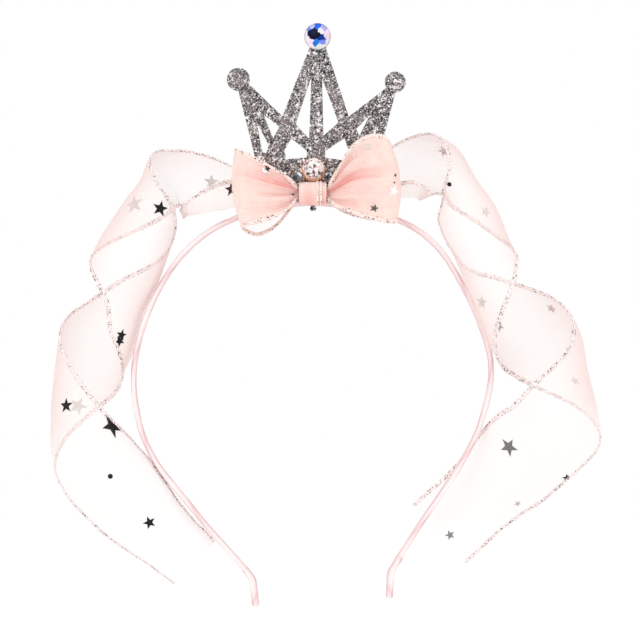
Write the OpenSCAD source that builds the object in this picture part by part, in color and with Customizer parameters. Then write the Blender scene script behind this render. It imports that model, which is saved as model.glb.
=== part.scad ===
// Dress-up tiara: a wound headband with a pierced glitter crown, cut stones,
// an organza bow and two curling ribbon tails. Millimetres, front towards -Y,
// origin under the middle of the band, where it sits on the head.

/* [Headband] */
// Thickness of the band, radially
band_t = 2.2; // [1.8:0.1:2.6]
// Width of the band, front to back
band_w = 5; // [4:0.5:5]
// Length of the wrapped sleeve on each end
cap_len = 11; // [8:1:14]
// Wall of the wrapped sleeve
cap_wall = 0.5; // [0.4:0.1:0.8]

/* [Crown] */
// Thickness of the glitter sheet
crown_t = 2; // [1.6:0.1:2]
// Turn of the crown about the upright axis, degrees
crown_turn = 4; // [2:0.5:4]
// Radius of the pad on the left peak
pad_left_r = 4.4; // [3.8:0.1:5]
// Radius of the pad on the right peak
pad_right_r = 4; // [3.6:0.1:4.6]
// Height of a peak pad's dome
pad_h = 2.4; // [1.5:0.1:3]

/* [Stones] */
// Radius of the stone on the middle peak
top_stone_r = 5.1; // [4:0.1:5.5]
// Height of that stone
top_stone_h = 4.2; // [3:0.1:5]
// Radius of the centre rhinestone
centre_stone_r = 3.6; // [3:0.1:3.8]
// Depth of its beaded cup
cup_h = 5.2; // [4.5:0.1:6]
// Beads round the cup's rim
cup_beads = 20; // [16:1:20]

/* [Ribbon] */
// Thickness of the cloth walls
cloth_t = 1; // [0.8:0.1:1]
// Folds gathered into the bow at the knot
bow_pleats = 3; // [2:1:4]
// Width of the knot, side to side
knot_w = 10.3; // [9.5:0.1:10.5]

/* [Hidden] */

pink = [0.96, 0.80, 0.78];
organza = [1.0, 0.92, 0.90];
silver = [0.55, 0.55, 0.56];
gap = 0.1;
overlap = 0.01;

// Middle line of the band from the left tip over the top to the right tip: [x, z]
band_rows = [
    [-21.5, -152], [-22.4, -145], [-24, -140], [-34, -128.5], [-45.5, -115], [-59.5, -97],
    [-66.3, -80.5], [-67.5, -59.5], [-61, -37], [-47.3, -16.2], [-27.6, -4.1], [0, 1.1],
    [27.6, -3.7], [46, -14], [59, -34], [66, -51.5], [67.8, -63], [66.3, -74], [62, -87],
    [54.5, -101], [42.5, -118.5], [31.5, -136], [29.8, -140], [29.1, -149]
];

// Outline of the crown, clockwise from the left foot: [x, z]
crown_rows = [
    [-9, 1.9], [-9, 9], [-14, 13], [-21.8, 18.5], [-28.2, 44], [-28.2, 49], [-23.6, 45.8],
    [-11.4, 34], [-1.2, 59.7], [0.2, 63.5], [4.2, 63.5], [5.4, 59.2], [13.8, 33.8],
    [27.7, 44.4], [31.5, 47.5], [31.5, 43], [25, 18.5], [14, 13], [9, 9], [9, 1.9], [0, 2.4]
];

// Gaps cut through the crown, each a list of corners: [x, z]
crown_gaps = [
    [[-0.3, 49.6], [-6.5, 31.2], [-1.2, 25.4]],
    [[3.6, 48.8], [10, 31.7], [4.1, 26.4]],
    [[-21.4, 32.3], [-19.2, 20.5], [-17.6, 20.1], [-16.6, 23.1]],
    [[-18.8, 35], [-12.6, 30.2], [-15, 25.5]],
    [[-8.1, 25.8], [-2.1, 21], [-2.1, 18.4], [-10, 17.8], [-10.9, 21]],
    [[12.2, 25.8], [4.8, 21], [4.8, 18.4], [11.6, 17.3], [13.9, 21]],
    [[22.2, 35], [16.5, 29.3], [17.9, 26.6]],
    [[24.4, 31.5], [22.4, 25.8], [23.9, 26.2]]
];
pad_left_at = [-28.2, 48.2];
pad_right_at = [31.5, 46.9];
top_stone_at = [2.1, 64.2];
centre_stone_at = [0.8, 13.5];

// Each tail winds round a middle line: [x, y, z, radius, phase of edge 2, phase of edge 1].
// Phase 0 is the side towards the head, 90 the back, 180 the outer side and 270 the front.
left_rows = [
    [-3.5, -4, 4.5, 1.8, -60, 180], [-9, -4.9, 5.4, 2.6, -65, 180], [-19, -3, 6.5, 5.5, -75, 180],
    [-26.7, -0.7, 6.2, 6.6, -120, 184.8], [-45.3, -0.4, 9.2, 13, -59.2, 153.2],
    [-53.5, 1.6, 8.3, 13.9, -42.5, 171], [-57.4, 2.8, 5, 9.9, 29.8, 292.2],
    [-61.1, 3.2, -2.2, 11.1, 65.5, 339.5], [-70.4, 4, -21.7, 13.8, 154.5, 428.5],
    [-75.8, 6, -36.1, 12.3, 253.5, 486], [-81.3, 7.5, -48.8, 14.7, 293, 534.5],
    [-85.9, 6.5, -65.7, 12.8, 365.5, 619], [-86.8, 5, -80.6, 13.2, 446.5, 678.5],
    [-83.1, 5, -95.6, 16, 539, 713], [-71, 7, -112, 17.5, 571, 701],
    [-55.8, 7, -125.7, 12.9, 548.5, 704], [-45, 7, -136, 11.5, 552, 708]
];
right_rows = [
    [3.5, -4, 4.5, 1.8, -60, 180], [9, -4.9, 5.6, 2.6, -65, 180], [20, -3, 7.5, 5.5, -75, 180],
    [29.5, -0.5, 10.6, 8.4, -70, 180], [38.2, -2.3, 15, 12.9, -60, 151],
    [47.7, -5, 13.2, 11.5, -40.8, 232], [54.8, -7.5, 7.5, 7.3, 22.8, 343], [58.4, -9, -3.4, 11.1, 85.2, 363.5],
    [64.4, -10.5, -17.9, 10.9, 145.5, 396.5], [69, -11.5, -27.8, 11.8, 218, 458.5],
    [76.9, -11, -40.3, 15.2, 305, 510], [85.2, -8, -52.5, 16.3, 360, 568],
    [88.1, -5, -64.3, 16.3, 413, 642], [88.9, 0, -72.8, 18.3, 463, 668.5],
    [87.6, 9, -85.6, 23.3, 566, 679],
    [75, 25, -100, 26, 585.5, 671.5], [63, 30, -112, 24, 591, 669], [48.5, 32, -125.5, 26, 594, 666]
];

// Each bow loop runs from the knot along its front, round the outer fold and back:
// [x low, z low, x high, z high, y from the knot's middle, bulge, depth of the gathers]
bow_left_rows = [
    [-3.6, 2.5, -3.6, 6.3, -0.85, 0, 0], [-5.6, 2.2, -5.6, 6.6, -1, 0, 0.1],
    [-6.8, 0.8, -6.8, 8.4, -1.8, 0, 0.3], [-10, -2, -10, 11, -4, 0.5, 0.7],
    [-15, -5, -16, 14.5, -6.4, 1, 0.9],
    [-21, -7, -23, 18.5, -8.2, 1.5, 0.6], [-25, -8, -28, 20.8, -7.2, 2.5, 0.2],
    [-26.5, -8.5, -29, 21, -4.2, 2.5, 0], [-25.5, -10, -28, 20, -1.6, 1, 0],
    [-20.5, -11.6, -21, 17, -0.6, 0.3, 0.2], [-14, -8.5, -14, 13.5, -0.2, 0, 0.3],
    [-8, -1.5, -8, 9.5, 0.4, 0, 0.3], [-5.6, 2.3, -5.6, 6.5, 0.8, 0, 0.1],
    [-3.6, 2.5, -3.6, 6.3, 0.85, 0, 0]
];
bow_right_rows = [
    [3.6, 2.5, 3.6, 6.3, -0.85, 0, 0], [5.6, 2.2, 5.6, 6.6, -1, 0, 0.1],
    [6.8, 0.9, 6.8, 9, -1.8, 0, 0.3], [10, -1.2, 10, 14, -4, 0.5, 0.7],
    [16, -3.6, 15, 22, -6.4, 1.5, 0.9],
    [24, -6, 21, 26, -8.4, 2, 0.6], [29.5, -7, 26.5, 26, -7.2, 3, 0.2],
    [31.5, -6.5, 29, 23.5, -4.4, 3, 0], [30, -6, 27.5, 22, -2, 1.2, 0],
    [22, -5.5, 20, 19.5, -0.8, 0.4, 0.2], [14, -3.6, 13, 14.5, -0.4, 0, 0.3],
    [8, -0.5, 8, 9.5, 0.4, 0, 0.3], [5.6, 2.3, 5.6, 6.5, 0.8, 0, 0.1],
    [3.6, 2.5, 3.6, 6.3, 0.85, 0, 0]
];

knot_at = [0.1, -10.2, 4.4];
knot_half = [3, 4.3];
band_front = -band_w / 2;

// A smooth curve through the rows, at t from 0 to the last row's number
function knot_row(rows, i) =
    i < 0 ? 2 * rows[0] - rows[1]
    : i >= len(rows) ? 2 * rows[len(rows) - 1] - rows[len(rows) - 2]
    : rows[i];
function curve_at(rows, t) =
    let (i = min(floor(t), len(rows) - 2), f = t - i,
        a = knot_row(rows, i - 1), b = rows[i], c = rows[i + 1], d = knot_row(rows, i + 2))
    0.5 * (2 * b + (c - a) * f + (2 * a - 5 * b + 4 * c - d) * f * f
        + (3 * b - a - 3 * c + d) * f * f * f);
function curve(rows, n) = [for (i = [0:n]) curve_at(rows, i * (len(rows) - 1) / n)];

function unit(v) = v / norm(v);
function step_along(list, i, reach = 1) =
    list[min(i + reach, len(list) - 1)] - list[max(i - reach, 0)];

// The unit normal at a point of a grid of points
function grid_normal(g, i, j) =
    unit(cross(g[min(i + 1, len(g) - 1)][j] - g[max(i - 1, 0)][j], step_along(g[i], j)));

// A wall of even thickness over a grid of points
module wall(g, t) {
    rows = len(g);
    cols = len(g[0]);
    count = rows * cols;
    points = [for (s = [0.5, -0.5]) for (i = [0:rows - 1]) for (j = [0:cols - 1])
        g[i][j] + s * t * grid_normal(g, i, j)];
    outer = [for (i = [0:rows - 2]) for (j = [0:cols - 2])
        let (a = i * cols + j, b = a + 1, c = a + cols + 1, d = a + cols)
        each [[a, b, c], [a, c, d]]];
    inner = [for (f = outer) [f[2] + count, f[1] + count, f[0] + count]];
    ends = [for (j = [0:cols - 2]) for (e = [0, 1])
        let (a = e == 0 ? j : (rows - 1) * cols + j, b = a + 1)
        each e == 0 ? [[a, a + count, b + count], [a, b + count, b]]
            : [[a, b + count, a + count], [a, b, b + count]]];
    sides = [for (i = [0:rows - 2]) for (e = [0, 1])
        let (a = i * cols + (e == 0 ? 0 : cols - 1), b = a + cols)
        each e == 0 ? [[a, b + count, a + count], [a, b, b + count]]
            : [[a, a + count, b + count], [a, b + count, b]]];
    polyhedron(points, concat(outer, inner, ends, sides), convexity = 10);
}

// A closed skin through rings of equal point counts, with its first and last ring filled
module ring_stack(rings) {
    n = len(rings[0]);
    last = (len(rings) - 1) * n;
    points = [for (r = rings) each r];
    sides = [for (i = [0:len(rings) - 2]) for (j = [0:n - 1])
        let (a = i * n + j, b = i * n + (j + 1) % n, c = a + n, d = b + n)
        each [[a, b, d], [a, d, c]]];
    first = [for (j = [1:n - 2]) [0, j + 1, j]];
    end = [for (j = [1:n - 2]) [last, last + j, last + j + 1]];
    polyhedron(points, concat(sides, first, end), convexity = 10);
}

// One oval ring square to the band at t, grown by g
band_sides = 12;
function band_ring(t, g) =
    let (p = curve_at(band_rows, t), q = curve_at(band_rows, min(t + 0.02, len(band_rows) - 1)),
        o = curve_at(band_rows, max(t - 0.02, 0)), d = unit(q - o))
    [for (k = [0:band_sides - 1])
        let (a = 360 * k / band_sides, across = (band_t / 2 + g) * cos(a),
            deep = (band_w / 2 + g) * sin(a))
        [p[0] - d[1] * across, deep, p[1] + d[0] * across]];

band_last = len(band_rows) - 1;
band_rings = 66;
// Share of the end spans that the sleeves' closed ends take beyond the band
tip_gap = 0.12;

module headband() {
    color(pink)
    ring_stack([for (i = [0:band_rings])
        band_ring(tip_gap + (band_last - 2 * tip_gap) * i / band_rings, 0)]);
}

// A sleeve with a rounded, closed end: rings go from the tip out and back inside it
cap_gap = 0.2;
cap_rings = 8;
function cap_ring(tip, inward, t, g) =
    let (r = band_ring(tip + inward * t, g)) [for (k = [0:band_sides - 1])
        r[inward > 0 ? k : band_sides - 1 - k]];
module end_cap(tip, inward, mouth) {
    out = cap_gap + cap_wall;
    color([0.93, 0.74, 0.73])
    ring_stack(concat(
        [for (a = [15, 45, 75]) cap_ring(tip, inward, tip_gap * (1 - cos(a)),
            out - band_t / 2 * (1 - sin(a)))],
        [for (k = [1:cap_rings]) cap_ring(tip, inward, mouth * k / cap_rings, out)],
        [for (k = [cap_rings:-1:1]) cap_ring(tip, inward, mouth * k / cap_rings, cap_gap)],
        [cap_ring(tip, inward, tip_gap * 0.85, cap_gap)]));
}
cap_mouth = 2.2 * cap_len / 11;
module end_cap_left() { end_cap(0, 1, cap_mouth); }
module end_cap_right() { end_cap(band_last, -1, cap_mouth); }

// Sets a flat shape upright in the crown's own plane, y = 0 at its middle
module on_crown() { rotate([0, 0, -crown_turn]) children(); }
module upright(t) { rotate([90, 0, 0]) linear_extrude(t, center = true) children(); }

module crown() {
    color(silver)
    on_crown() upright(crown_t) difference() {
        polygon(crown_rows);
        for (corners = crown_gaps) polygon(corners);
    }
}

// A round pad with a low dome, on the front of a peak
module peak_pad(at, r) {
    dome_r = (r * r + pad_h * pad_h) / (2 * pad_h);
    color(silver)
    on_crown() translate([at[0], -crown_t / 2 - gap, at[1]]) rotate([90, 0, 0])
    intersection() {
        translate([0, 0, pad_h - dome_r]) sphere(dome_r, $fn = 64);
        cylinder(h = pad_h, r = r, $fn = 64);
    }
}
module pad_left() { peak_pad(pad_left_at, pad_left_r); }
module pad_right() { peak_pad(pad_right_at, pad_right_r); }

// A cut stone: flat back, girdle, two rows of facets and a table
// [share of the radius, share of the height, turn in half facets]
stone_rows = [[0.86, 0, 0], [1, 0.2, 0], [1, 0.34, 0], [0.84, 0.66, 1], [0.5, 1, 0]];
module cut_stone(r, h, sides) {
    ring_stack([for (s = stone_rows)
        [for (k = [0:sides - 1]) let (a = -360 * (k + s[2] / 2) / sides)
            [r * s[0] * cos(a), r * s[0] * sin(a), h * s[1]]]]);
}
module stone_at(at, y, r, h, sides) {
    translate([at[0], y, at[1]]) rotate([90, 0, 0]) cut_stone(r, h, sides);
}
module top_stone() {
    color([0.45, 0.6, 0.95])
    on_crown() stone_at(top_stone_at, -crown_t / 2 - gap, top_stone_r, top_stone_h, 8);
}

// The cup is a turned bezel with a row of beads round its rim
cup_back = -crown_t / 2 - gap;
cup_r = centre_stone_r + 0.7;
module stone_cup() {
    color([0.85, 0.6, 0.4])
    on_crown() translate([centre_stone_at[0], cup_back, centre_stone_at[1]]) rotate([90, 0, 0]) {
        difference() {
            cylinder(h = cup_h, r = cup_r, $fn = 48);
            translate([0, 0, cup_h - 1.2]) cylinder(h = 1.2 + overlap, r = centre_stone_r + gap, $fn = 48);
        }
        for (k = [0:cup_beads - 1]) rotate(360 * k / cup_beads)
            translate([cup_r - 0.1, 0, cup_h - 0.3]) sphere(0.45, $fn = 24);
    }
}
module centre_stone() {
    color([0.95, 0.9, 0.9])
    on_crown() stone_at(centre_stone_at, cup_back - cup_h + 1.2 - gap, centre_stone_r, 3.2, 12);
}
module side_stone_left() { color(silver) stone_at([-5.7, 10.6], -10.8, 1.9, 1.6, 8); }
module side_stone_right() { color(silver) stone_at([6, 10.9], -10.8, 1.5, 1.4, 8); }
module lower_stone() { color(silver) stone_at([0.3, -1], band_front - 0.2, 1.25, 1.2, 8); }

// A soft sleeve round the bow's middle, wider at its ends, with shallow creases
knot_sides = 24;
function knot_ring(x, g) = [for (k = [0:knot_sides - 1])
    let (a = 360 * k / knot_sides,
        crease = g < 0 ? 0 : 0.25 * cos(4 * a) * (1 - abs(x)),
        flare = 0.25 * x * x)
    knot_at + [x * knot_w / 2, (knot_half[0] + g + crease * 0.4 + flare) * sin(a),
        (knot_half[1] + g - flare * 0.6) * cos(a)]];
module knot() {
    n = 6;
    rings = concat([for (i = [0:n]) knot_ring(-1 + 2 * i / n, 0)],
        [for (i = [n:-1:0]) knot_ring(-1 + 2 * i / n, -cloth_t)]);
    count = len(rings) * knot_sides;
    points = [for (r = rings) each r];
    faces = [for (i = [0:len(rings) - 1]) for (j = [0:knot_sides - 1])
        let (a = i * knot_sides + j, b = i * knot_sides + (j + 1) % knot_sides,
            c = (a + knot_sides) % count, d = (b + knot_sides) % count)
        each [[a, b, d], [a, d, c]]];
    color(pink) polyhedron(points, faces, convexity = 6);
}

// Cloth between a low and a high edge, bulged and gathered square to itself
bow_steps = 26;
bow_cols = 12;
function bow_grid(rows, side) =
    let (s = curve(rows, bow_steps),
        flat = [for (r = s) [for (j = [0:bow_cols]) let (v = j / bow_cols)
            [r[0] + (r[2] - r[0]) * v, knot_at[1] + r[4], r[1] + (r[3] - r[1]) * v]]])
    [for (i = [0:bow_steps]) [for (j = [0:bow_cols]) let (v = j / bow_cols)
        flat[i][j] + side * grid_normal(flat, i, j)
            * (s[i][5] * 4 * v * (1 - v) + s[i][6] * cos(360 * bow_pleats * v))]];
module bow_left() { color(pink) wall(bow_grid(bow_left_rows, -1), cloth_t); }
module bow_right() { color(pink) wall(bow_grid(bow_right_rows, 1), cloth_t); }

// A ribbon wound on a tube whose middle line, radius and covered arc follow the rows
tail_steps = 66;
tail_cols = 8;
tail_smooth = 3;
function tail_grid(rows, side) =
    let (s = curve(rows, tail_steps))
    [for (i = [0:tail_steps])
        let (d = step_along(s, i, tail_smooth), t = unit([d[0], d[2]]), lat = side * [t[1], -t[0]])
        [for (j = [0:tail_cols])
            let (a = s[i][4] + (s[i][5] - s[i][4]) * j / tail_cols, w = s[i][3] * cos(a))
            [s[i][0] + w * lat[0], s[i][1] + s[i][3] * sin(a), s[i][2] + w * lat[1]]]];
module ribbon_left() { color(organza) wall(tail_grid(left_rows, -1), cloth_t); }
module ribbon_right() { color(organza) wall(tail_grid(right_rows, 1), cloth_t); }

// A plain pad behind the foot, which holds crown and band together
felt_pad_t = 1.5;
module felt_pad() {
    color([0.9, 0.85, 0.85])
    on_crown() translate([0, crown_t / 2 + gap + felt_pad_t / 2, 0]) upright(felt_pad_t)
        polygon([[-8, 2.1], [0, 2.6], [8, 2.1], [8, 9], [5, 12], [-5, 12], [-8, 9]]);
}

headband();
end_cap_left();
end_cap_right();
crown();
pad_left();
pad_right();
top_stone();
stone_cup();
centre_stone();
side_stone_left();
side_stone_right();
lower_stone();
knot();
bow_left();
bow_right();
ribbon_left();
ribbon_right();
felt_pad();
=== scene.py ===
"""A dress-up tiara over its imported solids: a wound satin headband, a pierced glitter crown
with cut stones, an organza bow, and two curling organza tails with metallic hems. Lengths are
in millimetres and angles in degrees in the tables, and meshes are written in metres."""

import bpy
import numpy as np
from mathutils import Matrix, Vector


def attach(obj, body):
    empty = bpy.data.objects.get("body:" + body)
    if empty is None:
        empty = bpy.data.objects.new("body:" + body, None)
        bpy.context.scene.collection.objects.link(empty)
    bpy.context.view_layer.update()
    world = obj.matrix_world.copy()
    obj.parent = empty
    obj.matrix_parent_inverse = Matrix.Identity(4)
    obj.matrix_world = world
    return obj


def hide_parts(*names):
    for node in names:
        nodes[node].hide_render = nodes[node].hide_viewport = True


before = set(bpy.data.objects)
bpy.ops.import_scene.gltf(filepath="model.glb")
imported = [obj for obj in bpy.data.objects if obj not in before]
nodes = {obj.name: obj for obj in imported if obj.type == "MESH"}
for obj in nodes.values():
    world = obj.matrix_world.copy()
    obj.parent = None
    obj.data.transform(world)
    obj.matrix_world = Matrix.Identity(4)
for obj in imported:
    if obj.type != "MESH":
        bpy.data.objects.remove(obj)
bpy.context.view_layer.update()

MM = 0.001

# The band's thickness and width, the length of band for one turn of its winding, on the band
# and on an end cap, how proud each lap stands, and the thickness of a cap
BAND_T, BAND_W = 2.2, 5.0
BAND_PITCH, CAP_PITCH = 34.0, 14.0
LAP_HEIGHT = 0.1
CAP_WALL = 0.3
# In rows of the band's table from its end, where a cap's round tip begins: the end of the band
# itself, and the cap's mouth
TIP_GAP, CAP_MOUTH = 0.12, 2.2

# The crown's turn about the upright
CROWN_TURN = np.radians(4)

# The knot's middle, its half depth and half height, its width, and its ridges: the place of
# each across the knot from -1 to 1, its spread and its height
KNOT_AT = np.array([0.1, -10.2, 4.4])
KNOT_HALF = (3.0, 4.3)
KNOT_W = 10.3
KNOT_RIDGES = ((0.3, 0.12, 0.24), (0.6, 0.1, 0.22))

# The flat cloth, width and length, and the distance from thread to thread in the weave
TAIL_CLOTH = (38.0, 270.0)
LEFT_BOW_CLOTH = (31.0, 54.0)
RIGHT_BOW_CLOTH = (34.0, 66.0)
KNOT_CLOTH = (13.0, 24.0)
THREAD = 0.5

# The hems' cord: its width and thickness, the length of a stitch, the length that is 1 in its
# texture, and the metallic flecks in that length and round the cord
HEM_W, HEM_T = 1.7, 0.75
STITCH = 0.9
HEM_UNIT = 0.55
FLECKS_LONG, FLECKS_ROUND = 1.4, 10

# How far the two faces of a foil star lie off the cloth, and the radius of its inner corners
# as a share of that of its points
FOIL_BACK, FOIL_FRONT = 0.1, 0.16
STAR_WAIST = 0.42

# Rings along a piece's mesh and points across or round it, and the distance between two rings
# of a hem
TAIL_MESH, BOW_MESH, KNOT_MESH = (420, 57), (190, 81), (64, 72)
BAND_RINGS, BAND_SIDES = 900, 28
HEM_STEP, HEM_SIDES = 0.22, 10

# Middle line of the band from the left tip over the top to the right tip: x, z
BAND = [
    [-21.5, -152], [-22.4, -145], [-24, -140], [-34, -128.5], [-45.5, -115], [-59.5, -97],
    [-66.3, -80.5], [-67.5, -59.5], [-61, -37], [-47.3, -16.2], [-27.6, -4.1], [0, 1.1],
    [27.6, -3.7], [46, -14], [59, -34], [66, -51.5], [67.8, -63], [66.3, -74], [62, -87],
    [54.5, -101], [42.5, -118.5], [31.5, -136], [29.8, -140], [29.1, -149],
]

# Ribbon tails, as a strip wound on a tube: the tube's middle x, y, z and its radius, then the
# angle of the strip's edge where the share of the width is 0, and of the edge where it is 1
LEFT_TAIL = [
    [-3.5, -4, 4.5, 1.8, -60, 180], [-9, -4.9, 5.4, 2.6, -65, 180], [-19, -3, 6.5, 5.5, -75, 180],
    [-26.7, -0.7, 6.2, 6.6, -120, 184.8], [-45.3, -0.4, 9.2, 13, -59.2, 153.2],
    [-53.5, 1.6, 8.3, 13.9, -42.5, 171], [-57.4, 2.8, 5, 9.9, 29.8, 292.2],
    [-61.1, 3.2, -2.2, 11.1, 65.5, 339.5], [-70.4, 4, -21.7, 13.8, 154.5, 428.5],
    [-75.8, 6, -36.1, 12.3, 253.5, 486], [-81.3, 7.5, -48.8, 14.7, 293, 534.5],
    [-85.9, 6.5, -65.7, 12.8, 365.5, 619], [-86.8, 5, -80.6, 13.2, 446.5, 678.5],
    [-83.1, 5, -95.6, 16, 539, 713], [-71, 7, -112, 17.5, 571, 701],
    [-55.8, 7, -125.7, 12.9, 548.5, 704], [-45, 7, -136, 11.5, 552, 708],
]
RIGHT_TAIL = [
    [3.5, -4, 4.5, 1.8, -60, 180], [9, -4.9, 5.6, 2.6, -65, 180], [20, -3, 7.5, 5.5, -75, 180],
    [29.5, -0.5, 10.6, 8.4, -70, 180], [38.2, -2.3, 15, 12.9, -60, 151],
    [47.7, -5, 13.2, 11.5, -40.8, 232], [54.8, -7.5, 7.5, 7.3, 22.8, 343],
    [58.4, -9, -3.4, 11.1, 85.2, 363.5], [64.4, -10.5, -17.9, 10.9, 145.5, 396.5],
    [69, -11.5, -27.8, 11.8, 218, 458.5],
    [76.9, -11, -40.3, 15.2, 305, 510], [85.2, -8, -52.5, 16.3, 360, 568],
    [88.1, -5, -64.3, 16.3, 413, 642], [88.9, 0, -72.8, 18.3, 463, 668.5],
    [87.6, 9, -85.6, 23.3, 566, 679], [75, 25, -100, 26, 585.5, 671.5],
    [63, 30, -112, 24, 591, 669], [48.5, 32, -125.5, 26, 594, 666],
]

# Bow loops, from the knot along the front, round the outer fold and back:
# x low, z low, x high, z high, y from the knot's middle, bulge, depth of the gathers
LEFT_BOW = [
    [-3.6, 2.5, -3.6, 6.3, -0.85, 0, 0], [-5.6, 2.2, -5.6, 6.6, -1, 0, 0.1],
    [-6.8, 0.8, -6.8, 8.4, -1.8, 0, 0.3], [-10, -2, -10, 11, -4, 0.5, 0.7],
    [-15, -5, -16, 14.5, -6.4, 1, 0.9],
    [-21, -7, -23, 18.5, -8.2, 1.5, 0.6], [-25, -8, -28, 20.8, -7.2, 2.5, 0.2],
    [-26.5, -8.5, -29, 21, -4.2, 2.5, 0], [-25.5, -10, -28, 20, -1.6, 1, 0],
    [-20.5, -11.6, -21, 17, -0.6, 0.3, 0.2], [-14, -8.5, -14, 13.5, -0.2, 0, 0.3],
    [-8, -1.5, -8, 9.5, 0.4, 0, 0.3], [-5.6, 2.3, -5.6, 6.5, 0.8, 0, 0.1],
    [-3.6, 2.5, -3.6, 6.3, 0.85, 0, 0],
]
RIGHT_BOW = [
    [3.6, 2.5, 3.6, 6.3, -0.85, 0, 0], [5.6, 2.2, 5.6, 6.6, -1, 0, 0.1],
    [6.8, 0.9, 6.8, 9, -1.8, 0, 0.3], [10, -1.2, 10, 14, -4, 0.5, 0.7],
    [16, -3.6, 15, 22, -6.4, 1.5, 0.9],
    [24, -6, 21, 26, -8.4, 2, 0.6], [29.5, -7, 26.5, 26, -7.2, 3, 0.2],
    [31.5, -6.5, 29, 23.5, -4.4, 3, 0], [30, -6, 27.5, 22, -2, 1.2, 0],
    [22, -5.5, 20, 19.5, -0.8, 0.4, 0.2], [14, -3.6, 13, 14.5, -0.4, 0, 0.3],
    [8, -0.5, 8, 9.5, 0.4, 0, 0.3], [5.6, 2.3, 5.6, 6.5, 0.8, 0, 0.1],
    [3.6, 2.5, 3.6, 6.3, 0.85, 0, 0],
]
BOW_PLEATS = 3
# The bow's creases: share of the width, spread, depth, and how much painted shade each gets
LEFT_CREASES = [[0.665, 0.018, 0.5, 0.7], [0.7, 0.05, 1.0, 0.5], [0.77, 0.07, 0, 0.4],
                [0.45, 0.04, 0.5, 0.15], [0.24, 0.05, 0.4, 0.1], [0.92, 0.03, 0.4, 0.1]]
RIGHT_CREASES = [[0.515, 0.018, 0.5, 0.7], [0.56, 0.05, 1.0, 0.5], [0.63, 0.07, 0, 0.35],
                 [0.36, 0.045, 0.5, 0.3], [0.82, 0.04, 0.5, 0.15], [0.17, 0.05, 0.4, 0.15]]

# Foil stars, on the outside of the cloth: row number, share of the width, radius, turn and
# brightness, a painted reflection in the foil
LEFT_STARS = [
    [6.8, 0.84, 3.2, 8, 0.02], [7.02, 0.25, 4.1, 30, 0.55], [3.64, 0.73, 3.2, 15, 0.6],
    [3.23, 0.095, 2.8, 50, 0.06], [9.8, 0.09, 2.4, 5, 0.02], [9.97, 0.06, 2.4, 40, 0.02],
    [11.67, 0.75, 2.9, 0, 0.03], [11.72, 0.175, 3.8, 12, 0.55],
    [12.33, 0.93, 4.8, 10, 0.02], [14.58, 0.515, 2.6, 18, 0.02],
]
RIGHT_STARS = [
    [4.92, 0.66, 2.6, 10, 0.5], [7.1, 0.145, 2.4, 25, 0.55], [9.36, 0.7, 2.9, 35, 0.3],
    [10.09, 0.53, 2.1, 0, 0.1], [10.42, 0.835, 2.4, 20, 0.45],
    [11.12, 0.69, 1.6, 50, 0.1], [12.41, 0.28, 2.4, 5, 0.5],
    [14.69, 0.675, 3.9, 22, 0.2], [14.46, 0.04, 2.1, 60, 0.05],
    [15.42, 0.17, 1.4, 15, 0.5], [16.85, 0.42, 2, 40, 0.25],
]
LEFT_BOW_STARS = [[4.15, 0.93, 1.5, 10, 0.04], [4.3, 0.86, 1.8, 30, 1],
                  [2.2, 0.42, 1.0, 20, 0.12]]
RIGHT_BOW_STARS = [
    [4.95, 0.14, 1.7, 12, 0.1], [6.1, 0.36, 2.2, 5, 1], [6.35, 0.55, 0.8, 0, 0.1],
    [6.2, 0.46, 0.5, 20, 0.08], [4.9, 0.87, 1.3, 15, 0.75],
]
# Foil dots: row number, share of the width, radius and brightness, a painted reflection
LEFT_DOTS = [[13.48, 0.515, 0.95, 0.03]]
RIGHT_DOTS = [[5.76, 0.895, 0.85, 0.02]]


# Shapes

def spline(rows, t):
    """The smooth curve through a table's rows, at row numbers t: between two rows it is the
    cubic whose slope at each row is half the step from the row before to the row after."""
    rows = np.asarray(rows, float)
    rows = np.vstack([2 * rows[0] - rows[1], rows, 2 * rows[-1] - rows[-2]])
    i = np.clip(np.floor(t).astype(int), 0, len(rows) - 4)
    f = (t - i)[..., None]
    a, b, c, d = rows[i], rows[i + 1], rows[i + 2], rows[i + 3]
    return 0.5 * (2 * b + (c - a) * f + (2 * a - 5 * b + 4 * c - d) * f**2
                  + (3 * b - a - 3 * c + d) * f**3)


def unit(v):
    """Vectors divided by their lengths."""
    return v / np.maximum(np.linalg.norm(v, axis=-1, keepdims=True), 1e-9)


def grid_normals(grid):
    """Square to the surface: the cross product of the steps along and across the grid."""
    return unit(np.cross(np.gradient(grid, axis=0), np.gradient(grid, axis=1)))


def bell(x, middle, spread):
    """A bell curve: e to the power of minus the square of the distance over the spread."""
    return np.exp(-((x - middle) / spread) ** 2)


def tail_surface(rows, side, t, v):
    """A strip wound on a tube. The tube's middle line and radius follow the rows; the point at
    share v of the width lies at an angle between the two edges' angles, where 0 points from the
    middle line towards the head in the plane of the tiara, and 90 points backwards. The line's
    direction is that of the step from a little before the point to a little after it. Two sine
    waves along the cloth change the radius by up to a quarter of a millimetre.
    Returns the points and the directions out of the tube."""
    last = len(rows) - 1
    reach = last / 22
    s = spline(rows, t)
    d = spline(rows, np.minimum(t + reach, last)) - spline(rows, np.maximum(t - reach, 0))
    d = unit(d[..., [0, 2]])
    a = np.radians(s[..., 4] + (s[..., 5] - s[..., 4]) * v)
    cosine = np.cos(a) * side
    out = np.stack([cosine * d[..., 1], np.sin(a), -cosine * d[..., 0]], -1)
    share = t / last
    ripple = (0.16 * np.sin(2 * np.pi * (8.7 * share + 0.7 * v))
              + 0.1 * np.sin(2 * np.pi * (24 * share - 1.3 * v)) * (2 * v - 1) ** 2)
    return s[..., :3] + out * (s[..., 3] + ripple)[..., None], out


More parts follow.
